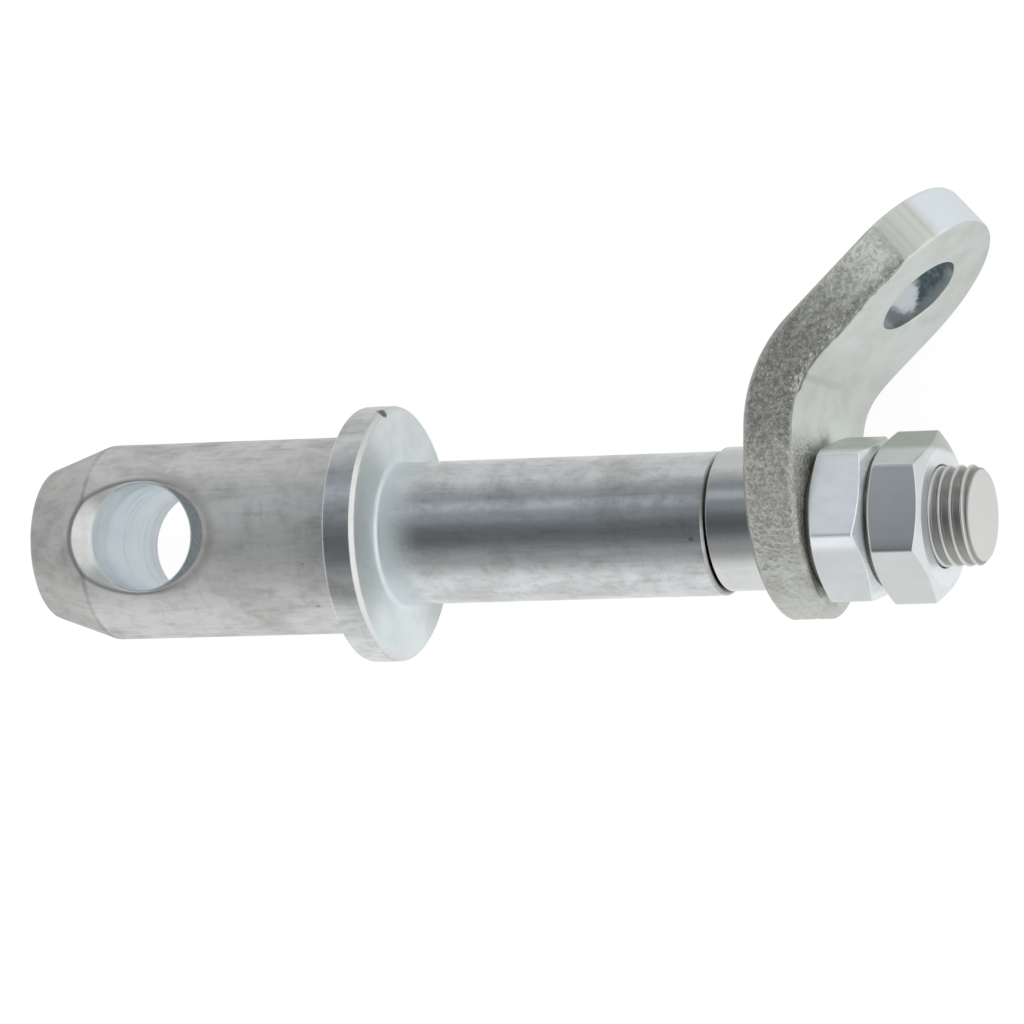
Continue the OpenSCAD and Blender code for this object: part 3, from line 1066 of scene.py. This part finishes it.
@dataclass
class SpacerRing:
    """The loose ring between shank and lug, hanging off the axis. Sizes in mm."""

    start_x: float = 39.5
    length: float = 5.8
    outer_r: float = 7.95
    bore_r: float = 6.05
    hang: float = 0.45
    bevel: float = 0.38
    bore_bevel: float = 0.3
    around: int = 192

    def build(self) -> bpy.types.Object:
        """Builds the ring: its cut outline with rounded bevels, carried round the ring's own axis.

        Returns:
            The new object.
        """
        x0, x1 = self.start_x, self.start_x + self.length
        r0, r1, b, c = self.bore_r, self.outer_r, self.bevel, self.bore_bevel
        mid = 0.5 * (x0 + x1)
        cut = np.array([[mid, r0], [x0 + c, r0], [x0, r0 + c], [x0, r1 - b], [x0 + b, r1],
                        [x1 - b, r1], [x1, r1 - b], [x1, r0 + c], [x1 - c, r0], [mid, r0]])
        path = fillet_path(cut, [0] + [0.15] * 8 + [0])
        points = carry_round(path[:, None], round_turns(self.around), (0.0, self.hang))
        # Painted shade on the left bevel, in the groove against the shank's end.
        grime = 1.0 - smooth_step(path[:, :1], x0 + 0.2, x0 + b)
        shell = Shell("spacer_sleeve")
        shell.add_grid(points, True, grime=grime)
        piece = shell.build()
        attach(piece, BODY)
        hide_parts("spacer_ring")
        return piece


@dataclass
class ThinNut:
    """A thin hexagon nut with a round bearing face and bevelled corners. Sizes in mm."""

    name: str
    node: str
    start_x: float
    tilt_deg: float
    across: float = 16.6
    thick: float = 6.75
    satin: float = 0.35
    face_t: float = 0.45
    face_r: float = 7.6
    bevel_deg: float = 22.0
    bore_r: float = 5.61
    bore_bevel: float = 0.15
    corner_round: float = 0.5
    crown: float = 0.08
    per_side: int = 36

    def flat_radius(self, off: np.ndarray) -> np.ndarray:
        """Radius of the hexagon at an angle off the middle of a flat, with its corners rounded.

        On the flat it is half the width over cos(angle), with a slight crown that falls off by
        the square of the place along the flat. Near a corner it is the far crossing of the ray
        with a small circle that touches both flats.

        Args:
            off: Angles off the middle of the nearest flat.

        Returns:
            The radius at each angle.
        """
        half = self.across / 2.0
        centre = (half - self.corner_round) / math.cos(math.pi / 6.0)
        touch = math.atan2(centre / 2.0, half)
        to_corner = math.pi / 6.0 - np.abs(off)
        bow = np.sqrt(np.maximum(self.corner_round**2 - (centre * np.sin(to_corner)) ** 2, 0.0))
        crown = self.crown * (1.0 - (np.tan(off) / math.tan(touch)) ** 2)
        return np.where(np.abs(off) > touch, centre * np.cos(to_corner) + bow, (half + crown) / np.cos(off))

    def cut_outline(self, edge: np.ndarray, rise: np.ndarray) -> np.ndarray:
        """The nut's cut outline at each angle, from the middle of the bore round to it again.

        Args:
            edge: Radius of the hexagon at each angle.
            rise: Length of the bevel along the axis at each angle.

        Returns:
            Points (x, radius) with rounded corners, an array of shape (points, angles, 2).
        """
        t, f, r0, c = self.thick, self.face_r, self.bore_r, self.bore_bevel
        corners = [(t / 2.0, r0), (c, r0), (0.0, r0 + c), (0.0, f), (self.face_t, f),
                   (self.face_t + rise, edge), (t - rise, edge),
                   (t, f), (t, r0 + c), (t - c, r0), (t / 2.0, r0)]
        cut = np.stack([np.stack([x + 0.0 * edge, r + 0.0 * edge], -1) for x, r in corners])
        return fillet_path(cut, [0, 0.1, 0.15, 0.15, 0.1, 0.3, 0.3, 0.4, 0.15, 0.1, 0], 6, 0.06)

    def build(self) -> bpy.types.Object:
        """Builds the nut: for each angle a cut outline whose bevels meet the hexagon, carried round.

        Returns:
            The new object.
        """
        lead = np.linspace(-1.0, 1.0, self.per_side + 1)[:-1]
        off = np.tile(np.radians(30.0) * np.sin(lead * math.pi / 2.0), 6)
        sixth = np.repeat(np.arange(6) * math.pi / 3.0, self.per_side)
        turn = sixth + off + math.radians(90.0 - self.tilt_deg)
        edge = self.flat_radius(off)
        rise = (edge - self.face_r) * math.tan(math.radians(self.bevel_deg))
        path = self.cut_outline(edge, rise)
        points = carry_round(path, turn, (self.start_x, 0.0))
        x, radius = path[..., 0], path[..., 1]
        # Painted shade on the bearing face, in the gap against the lug, and on the bore's chamfer, in the gap
        # round the stud.
        grime = 1.0 - smooth_step(x, self.face_t - 0.1, self.face_t + 0.05)
        grime = np.maximum(grime, 0.7 - 0.7 * smooth_step(radius, self.bore_r + 0.02, self.bore_r + 0.12))
        on_flat = smooth_step(np.minimum(x - self.face_t - rise, self.thick - rise - x), -0.1, 0.1)
        low = smooth_step(-points[..., 1], 3.4, 4.4) * on_flat
        high = smooth_step(points[..., 1], 6.8, 7.4) * on_flat
        end_face = smooth_step(x, self.thick - 0.05, self.thick - 0.01)
        end_face = end_face * (1.0 - smooth_step(radius, self.face_r - 0.1, self.face_r + 0.2))
        shell = Shell(self.name)
        # Painted shade on the flats on the -Y side and, for a satin nut, on those on the +Y side.
        side_shade = (0.20 + 0.12 * self.satin) * low + 0.26 * self.satin**2 * high
        shell.add_grid(points, True, grime=np.maximum(grime, side_shade), satin=np.maximum(end_face, self.satin),
                       threaded=end_face)
        piece = shell.build()
        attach(piece, BODY)
        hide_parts(self.node)
        return piece


@dataclass
class BentLug:
    """The forged lug: a bar with a foot, a bend and an arm that ends in an eye. Sizes in mm.

    The bar is laid out flat as u, across the bar and up, and s, along its outer face from the
    pin's axis. A third value q goes from the outer face into the bar.
    """

    face_x: float = 51.2
    thick: float = 5.9
    half_w: float = 11.5
    flare: float = 1.4
    flare_from: float = 12.4
    flare_to: float = 18.0
    bend_deg: float = 46.0
    bend_r: float = 11.0
    bend_y: float = 9.3308
    eye_s: float = 28.193
    eye_r: float = 5.05
    stud_hole_r: float = 5.75
    tip_reach: float = 10.9
    tip_u: float = 2.5
    tip_r_up: float = 9.0
    tip_r_down: float = 15.0
    foot_reach: float = 10.6
    foot_u: float = -2.9
    foot_r_up: float = 16.0
    foot_r_down: float = 10.6
    pale_s: tuple[float, ...] = (-11.0, -4.0, 4.0, 8.0, 12.0, 16.0, 20.0, 24.0, 28.0, 32.0)
    pale: tuple[float, ...] = (0.36, 0.06, 0.04, 0.20, 0.10, 0.05, 0.20, 0.40, 0.72, 0.95)
    ground_from: float = 29.6
    ground_to: float = 33.4
    front_round: float = 0.35
    foot_round: float = 0.9
    back_round: float = 0.9
    across: int = 48
    bend_rows: int = 84
    step: float = 0.15
    foot_top: float = 8.0
    arm_from: float = 20.4

    def bent(self, u: np.ndarray, s: np.ndarray, q: np.ndarray) -> np.ndarray:
        """Bends the flat lay-out.

        Below the bend a point is q behind the face. In the bend it lies at the bend radius plus q
        from the bend's centre, turned by its length over the radius. On the arm it goes on
        straight in the direction that the bend ends in.

        Args:
            u: Places across the bar.
            s: Places along its outer face.
            q: Depths into the bar.

        Returns:
            The bent points, in mm.
        """
        u, s, q = np.broadcast_arrays(u, s, q)
        full = math.radians(self.bend_deg)
        turn = np.clip((s - self.bend_y) / self.bend_r, 0.0, full)
        straight = np.minimum(s - self.bend_y, 0.0) + np.maximum(s - self.bend_y - full * self.bend_r, 0.0)
        reach = self.bend_r + q
        x = self.face_x + self.bend_r - reach * np.cos(turn) + straight * np.sin(turn)
        y = self.bend_y + reach * np.sin(turn) + straight * np.cos(turn)
        return np.stack([x, y, u], -1)

    def end_curve(self, reach: float, tip_u: float, r_up: float, r_down: float, low_w: float) -> np.ndarray:
        """Outline of one end, from the upper edge to the lower.

        Each side is an arc that leaves the bar's edge along it and ends at the tip.

        Args:
            reach: Distance of the tip past the hole.
            tip_u: Place of the tip across the bar.
            r_up: Radius of the upper corner.
            r_down: Radius of the lower corner.
            low_w: Distance of the lower edge from the bar's middle.

        Returns:
            Points (u, distance past the hole).
        """
        sides = []
        for sign, radius, width in ((1.0, r_up, self.half_w), (-1.0, r_down, low_w)):
            across = width - radius
            rise = math.sqrt(radius**2 - (sign * tip_u - across) ** 2)
            last = math.atan2(rise, sign * tip_u - across)
            angle = np.linspace(0.0, last, int(radius * last / self.step))
            sides.append(np.stack([sign * (across + radius * np.cos(angle)),
                                   reach - rise + radius * np.sin(angle)], -1))
        return np.concatenate([sides[0], sides[1][-2::-1]])

    def edge_run(self, sign: float, start: float, stop: float, count: int = 0) -> np.ndarray:
        """Goes along the upper or the lower edge; the arm is wider below.

        Args:
            sign: 1 for the upper edge, -1 for the lower.
            start: Place s of the first point.
            stop: Place s that the run ends at.
            count: Number of points, or 0 for even steps.

        Returns:
            Points (u, s), without the last one.
        """
        count = count or max(int(abs(stop - start) / self.step), 2)
        s = np.linspace(start, stop, count + 1)[:-1]
        wide = self.flare * smooth_step(s, self.flare_from, self.flare_to) if sign < 0.0 else 0.0
        return np.stack([sign * (self.half_w + wide + 0.0 * s), s], -1)

    def outline(self) -> tuple[np.ndarray, np.ndarray, int, int]:
        """The bar's outline in the flat lay-out.

        Returns:
            The points (u, s) round the bar, starting at the foot's top on the lower edge, the
            outward directions there, and the numbers of points in the foot and in the eye end.
        """
        foot = self.end_curve(self.foot_reach, self.foot_u, self.foot_r_up, self.foot_r_down, self.half_w)
        foot[:, 1] *= -1.0
        low_w = self.half_w + self.flare
        tip = self.end_curve(self.tip_reach, self.tip_u, self.tip_r_up, self.tip_r_down, low_w)
        tip[:, 1] += self.eye_s
        low_foot = self.edge_run(-1.0, self.foot_top, foot[-1, 1])
        up_foot = self.edge_run(1.0, foot[0, 1], self.foot_top)[1:]
        up_mid = self.edge_run(1.0, self.foot_top, self.arm_from, self.bend_rows)
        up_tip = self.edge_run(1.0, self.arm_from, tip[0, 1])
        low_tip = self.edge_run(-1.0, tip[-1, 1], self.arm_from)[1:]
        low_mid = self.edge_run(-1.0, self.arm_from, self.foot_top, self.bend_rows)
        points = np.concatenate([low_foot, foot[::-1], up_foot, up_mid, up_tip, tip, low_tip, low_mid])
        ahead = np.roll(points, -1, 0) - np.roll(points, 1, 0)
        out = np.stack([ahead[:, 1], -ahead[:, 0]], -1)
        out /= np.linalg.norm(out, axis=1, keepdims=True)
        return points, out, len(low_foot) + len(foot) + len(up_foot), len(up_tip) + len(tip) + len(low_tip)

    def cast_share(self, s: np.ndarray) -> np.ndarray:
        """How rough the forged edge is: rough from the axis to the eye, smooth at both ends.

        Args:
            s: Places along the bar.

        Returns:
            The share of roughness at each place.
        """
        rise = 0.50 + 0.50 * smooth_step(s, -9.0, 4.0)
        fall = 1.0 - 0.9 * smooth_step(s, self.ground_from, self.ground_to)
        return rise * fall

    def spread(self, u: np.ndarray, s: np.ndarray) -> np.ndarray:
        """How far the rough scale goes on from the near edge over the outer face, beside the nuts."""
        return smooth_step(u, 3.0, 6.5) * (1.0 - smooth_step(s, 4.0, 11.0))

    def jag(self, ring: np.ndarray) -> np.ndarray:
        """How far the forged edge's ragged front corner stands out: two sizes of noise along the outline.

        Args:
            ring: Points (u, s) of the outline.

        Returns:
            The distance in mm at each point.
        """
        flat = np.concatenate([ring, np.zeros((len(ring), 1))], -1)
        ragged = 0.52 * lattice_noise(flat, 1.7, 21) + 0.22 * lattice_noise(flat, 0.7, 22) - 0.28
        along = self.cast_share(ring[:, 1]) * smooth_step(ring[:, 1], 7.0, 13.0)
        return ragged * along * smooth_step(ring[:, 0], 0.0, 4.0)

    def roughen(self, points: np.ndarray, share: np.ndarray, way: np.ndarray) -> np.ndarray:
        """Moves points by three sizes of noise.

        Args:
            points: Places in mm.
            share: Share of the full movement at each point.
            way: Unit vectors to move along.

        Returns:
            The moved points.
        """
        lumps = (0.90 * lattice_noise(points, 1.2, 3) + 0.75 * lattice_noise(points, 0.5, 5)
                 + 0.40 * lattice_noise(points, 0.26, 9))
        return points + (0.10 * share * lumps)[..., None] * way

    def build(self) -> bpy.types.Object:
        """Builds the lug: two faces with their holes, the rounded rim between them and the hole walls.

        Returns:
            The new object.
        """
        shell = Shell("forged_lug")
        ring, out, n_foot, n_tip = self.outline()
        t, eb = self.thick, self.back_round
        ef = self.front_round + (self.foot_round - self.front_round) * self.spread(ring[:, 0], ring[:, 1])
        arc = np.linspace(0.0, math.pi / 2.0, 8)[:, None]
        flat_rows = np.zeros((32, len(ring)))
        inset = np.concatenate([ef * (1.0 - np.sin(arc)), flat_rows,
                                flat_rows[:8] + eb * (1.0 - np.cos(arc))])
        depth = np.concatenate([ef * (1.0 - np.cos(arc)), np.linspace(ef, flat_rows[0] + t - eb, 34)[1:-1],
                                flat_rows[:8] + t - eb * (1.0 - np.sin(arc))])
        jag = self.jag(ring)
        self.add_rim(shell, ring, out, inset - jag * (1.0 - smooth_step(depth, 0.0, 1.2)), depth)
        n_mid = (len(ring) - n_foot - n_tip) // 2
        foot, up = slice(0, n_foot), slice(n_foot, n_foot + n_mid)
        tip = slice(n_foot + n_mid, n_foot + n_mid + n_tip)
        for q, edge_in in ((0.0, inset[0] - jag), (t, inset[-1])):
            border = ring - out * edge_in[:, None]
            low_mid = np.concatenate([border[n_foot + n_mid + n_tip:], border[:1]])[::-1]
            up_mid = np.concatenate([border[up], border[tip][:1]])
            w = np.linspace(0.0, 1.0, self.across + 1)
            grid = low_mid[:, None] + (up_mid - low_mid)[:, None] * w[None, :, None]
            self.add_face(shell, grid, q, False)
            self.add_eye(shell, np.concatenate([border[foot], up_mid[:1], grid[0][::-1][1:-1]]),
                         0.0, self.stud_hole_r, 0.3, q)
            self.add_eye(shell, np.concatenate([border[tip], low_mid[-1:], grid[-1][1:-1]]),
                         self.eye_s, self.eye_r, 0.22, q)
        piece = shell.build()
        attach(piece, BODY)
        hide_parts("bent_lug")
        return piece

    def add_rim(self, shell: Shell, ring: np.ndarray, out: np.ndarray, inset: np.ndarray,
                depth: np.ndarray) -> None:
        """Adds the rim: the rounded cut of the edge at every point of the outline, roughened outwards.

        Args:
            shell: Shell to add to.
            ring: Points (u, s) of the outline.
            out: Outward directions there.
            inset: Distance of the rim inside the outline, by row of the cut and point.
            depth: Depth into the bar, by row of the cut and point.
        """
        flat = ring[None] - out[None] * inset[..., None]
        points = self.bent(flat[..., 0], flat[..., 1], depth)
        ahead = self.bent(flat[..., 0] + 0.01 * out[:, 0], flat[..., 1] + 0.01 * out[:, 1], depth) - points
        way = ahead / np.linalg.norm(ahead, axis=-1, keepdims=True)
        front = smooth_step(depth, 0.0, 0.25)
        back = smooth_step(self.thick - depth, 0.0, 0.6)
        u, s = ring[None, :, 0], ring[None, :, 1]
        cast = self.cast_share(s)
        points = self.roughen(points, cast * np.minimum(smooth_step(depth, 0.0, 0.9), back), way)
        shown = np.minimum(np.maximum(front, self.spread(u, s)), back)
        ground = smooth_step(s, self.ground_from, self.ground_to) * np.minimum(front, back)
        dark_line = np.maximum(0.6 * smooth_step(s, 16.0, 20.0), self.spread(u, s))
        dark_line = (1.0 - smooth_step(depth, 0.4, 1.8)) * dark_line
        pale = self.paleness(s) * (1.0 - dark_line)
        shell.add_grid(points, True, cast=cast * shown, run=s / RUN_MM, satin=ground, cool=pale)

    def paleness(self, s: np.ndarray) -> np.ndarray:
        """How pale the rough scale is along the bar."""
        return np.interp(s, self.pale_s, self.pale)

    def add_face(self, shell: Shell, grid: np.ndarray, q: float, wrap: bool) -> None:
        """Adds a stretch of one face.

        Args:
            shell: Shell to add to.
            grid: Points (u, s) of the flat lay-out.
            q: Depth of the face into the bar.
            wrap: Whether each row closes on itself.
        """
        u, s = grid[..., 0], grid[..., 1]
        spread = self.spread(u, s) * (q == 0.0)
        shell.add_grid(self.bent(u, s, np.array(q)), wrap, cast=self.cast_share(s) * spread, run=s / RUN_MM,
                       cool=self.paleness(s) * (1.0 - 0.5 * spread))

    def add_eye(self, shell: Shell, border: np.ndarray, at: float, radius: float, edge: float,
                q: float) -> None:
        """Adds the face around a hole and half of the hole's wall.

        The face runs in straight lines from the hole's rounded lip to the border. The lip is a
        quarter round, and the wall goes straight on to the middle of the bar.

        Args:
            shell: Shell to add to.
            border: Points (u, s) of the face's border.
            at: Place s of the hole.
            radius: Radius of the hole.
            edge: Radius of its lip.
            q: Depth of the face into the bar.
        """
        way = border - np.array([0.0, at])
        way = way / np.linalg.norm(way, axis=1, keepdims=True)
        lip = np.array([0.0, at]) + way * (radius + edge)
        w = np.concatenate([[0.0, 0.03], np.linspace(0.1, 0.97, 14), [1.0]])[:, None, None]
        self.add_face(shell, lip + (border - lip) * w, q, True)
        arc = np.linspace(0.0, math.pi / 2.0, 6)
        out = np.concatenate([radius + edge * (1.0 - np.sin(arc)), np.full(5, radius)])
        down = edge + np.linspace(0.0, 1.0, 6)[1:] * (self.thick / 2 - edge)
        into = np.concatenate([edge * (1.0 - np.cos(arc)), down])
        deep = into if q == 0.0 else self.thick - into
        flat = np.array([0.0, at]) + way[None] * out[:, None, None]
        points = self.bent(flat[..., 0], flat[..., 1], deep[:, None])
        # The hole's wall is marked for the eye's painted shade and painted highlight.
        wall = smooth_step(into[:, None], 0.0, edge if q > 0.0 else 1.5)
        shell.add_grid(points, True, run=flat[..., 1] / RUN_MM, grime=wall)


# Studio


@dataclass
class Studio:
    """Pale floor, soft dome of light and the camera. Lengths in mm, angles in degrees."""

    floor_z: float = -14.3
    floor_size: float = 6000.0
    floor_near: float = 0.96
    floor_far: float = 0.66
    floor_white: float = 1.10
    floor_glow: float = 0.82
    dome: tuple[tuple[float, float], ...] = (
        (-95.0, 0.95), (-82.0, 0.80), (-69.0, 0.54), (-57.0, 0.37), (-46.0, 0.345), (-36.0, 0.25),
        (-26.0, 0.15), (-12.0, 0.12), (2.0, 0.16), (12.0, 0.285), (21.0, 0.29), (26.0, 0.35),
        (30.0, 0.52), (38.0, 0.53), (43.0, 0.37), (51.0, 0.31), (63.0, 0.45), (76.0, 0.61), (92.0, 0.74))
    blue: float = 0.07
    blue_span: tuple[float, float] = (-40.0, 60.0)
    nose_level: float = 0.64
    thread_level: float = 1.0
    side: float = 22.4
    lift: float = -5.44
    roll: float = 0.37
    distance: float = 900.0
    focal_px: float = 8045.0
    image_px: float = 1024.0
    origin_px: tuple[float, float] = (398.0, 533.7)

    def add_camera(self) -> None:
        """Adds the camera so that the frame's origin falls on its place in the image."""
        a, e, r = (math.radians(v) for v in (self.side, self.lift, self.roll))
        back = np.array([math.sin(a) * math.cos(e), math.sin(e), math.cos(a) * math.cos(e)])
        up = np.array([0.0, 1.0, 0.0]) - back[1] * back
        up /= np.linalg.norm(up)
        right = np.cross(up, back)
        right, up = right * math.cos(r) + up * math.sin(r), up * math.cos(r) - right * math.sin(r)
        per_px = self.distance / self.focal_px
        off_x = (self.origin_px[0] - self.image_px / 2.0) * per_px
        off_y = (self.image_px / 2.0 - self.origin_px[1]) * per_px
        place = (self.distance * back - off_x * right - off_y * up) * MM
        data = bpy.data.cameras.new("camera")
        data.sensor_width = 36.0
        data.lens = 36.0 * self.focal_px / self.image_px
        data.clip_start = 0.01
        data.clip_end = 50.0
        camera = bpy.data.objects.new("camera", data)
        turn = Matrix((right, up, back)).transposed().to_4x4()
        camera.matrix_world = Matrix.Translation(place) @ turn
        bpy.context.scene.collection.objects.link(camera)
        bpy.context.scene.camera = camera

    def add_floor(self) -> None:
        """Adds the pale floor, which is white to the eye and in reflections and keeps a soft shadow."""
        half = self.floor_size * MM / 2.0
        z = self.floor_z * MM
        mesh = bpy.data.meshes.new("floor")
        corners = [(-half, -half, z), (half, -half, z), (half, half, z), (-half, half, z)]
        mesh.from_pydata(corners, [], [(0, 1, 2, 3)])
        floor = bpy.data.objects.new("floor", mesh)
        bpy.context.scene.collection.objects.link(floor)
        mat, s = new_material("pale_floor")
        matt = s.add("ShaderNodeBsdfDiffuse", Color=(0.9, 0.9, 0.9, 1.0))
        path = s.add("ShaderNodeLightPath")
        coord = s.add("ShaderNodeTexCoord")
        axes = s.add("ShaderNodeSeparateXYZ", Vector=coord.outputs["Object"])
        falls = s.span(axes.outputs["Y"], -0.02, 0.05, self.floor_near, self.floor_far)
        seen_white = s.times(path.outputs["Is Camera Ray"], self.floor_white)
        level = s.most(falls, seen_white)
        glow = s.add("ShaderNodeEmission", Color=(1.0, 1.0, 1.0, 1.0), Strength=level)
        seen = s.blend(self.floor_glow, matt, glow)
        s.show(s.blend(self.seen_rays(s), matt, seen))
        mesh.materials.append(mat)

    def seen_rays(self, s: NodeSheet) -> Socket:
        """Tells rays of the camera, of gloss and of glass from others.

        Args:
            s: Node sheet of the material.

        Returns:
            1 for those rays, 0 for others.
        """
        path = s.add("ShaderNodeLightPath")
        gloss = s.most(path.outputs["Is Glossy Ray"], path.outputs["Is Transmission Ray"])
        return s.most(path.outputs["Is Camera Ray"], gloss)

    def add_dome(self) -> None:
        """Adds the dome of light: bright at the sides, dark overhead, even towards both ends of the pin."""
        world = bpy.data.worlds.new("dome")
        world.use_nodes = True
        bpy.context.scene.world = world
        s = NodeSheet(world.node_tree)
        coord = s.add("ShaderNodeTexCoord")
        axes = s.add("ShaderNodeSeparateXYZ", Vector=coord.outputs["Generated"])
        turn = s.sums(Sum.ANGLE, axes.outputs["Y"], axes.outputs["Z"])
        ramp = s.add("ShaderNodeValToRGB", Fac=s.plus(s.sums(Sum.OVER, turn, 2.0 * math.pi), 0.5))
        ramp.color_ramp.interpolation = "LINEAR"
        stops = ramp.color_ramp.elements
        while len(stops) < len(self.dome):
            stops.new(0.5)
        for stop, (angle, level) in zip(stops, self.dome):
            stop.position = angle / 360.0 + 0.5
            blue = self.blue if self.blue_span[0] < angle < self.blue_span[1] else 0.0
            stop.color = (level * (1.0 - blue), level, level * (1.0 + blue), 1.0)
        colour = s.mix(s.span(axes.outputs["X"], -0.60, -0.90), ramp.outputs[0], (self.nose_level,) * 3)
        colour = s.mix(s.span(axes.outputs["X"], 0.45, 0.75), colour, (self.thread_level,) * 3)
        path = s.add("ShaderNodeLightPath")
        plain = s.most(path.outputs["Is Camera Ray"], path.outputs["Is Diffuse Ray"])
        colour = s.mix(plain, colour, (1.0, 1.0, 1.0))
        s.show(s.add("ShaderNodeBackground", Color=colour, Strength=1.0), "ShaderNodeOutputWorld")

    def build(self) -> None:
        """Sets the view and builds the whole studio."""
        bpy.context.scene.view_settings.view_transform = "Standard"
        self.add_camera()
        self.add_floor()
        self.add_dome()


def main() -> None:
    """Builds the studio and every piece, dresses the pieces and reports them."""
    logging.basicConfig(level=logging.INFO, format="%(name)s: %(message)s")
    Studio().build()
    pin_zinc = ZincFinish("satin_zinc", seam_x=-34.3, nick_at=(0.15, 12.95, 5.25))
    ring_zinc = ZincFinish("bright_zinc", rough=0.12, clouds=0.1, streak=0.05, lathe=0.06, pits=0.2,
                           bump_mm=0.002)
    nut_zinc = ZincFinish("nut_zinc", light=(0.74, 0.755, 0.76), satin=(0.93, 0.975, 1.0), rough=0.12,
                          rough_satin=0.2, rough_end=0.14, clouds=0.05, streak=0.0, lathe=0.0, pits=0.1,
                          bump_mm=0.001, olive_y=7.2)
    lug_zinc = ForgedFinish("forged_zinc")
    pieces = [
        (TurnedPin(), pin_zinc),
        (SpacerRing(), ring_zinc),
        (BentLug(), lug_zinc),
        (ThinNut("inner_nut", "clamp_nut", 51.2, 14.0, satin=1.0), nut_zinc),
        (ThinNut("outer_nut", "lock_nut", 57.95, 2.0), nut_zinc),
    ]
    for maker, finish in pieces:
        piece = maker.build()
        piece.data.materials.append(finish.make())
        log.info("%s: %d faces, finish %s", piece.name, len(piece.data.polygons), finish.name)


if __name__ == "__main__":
    main()
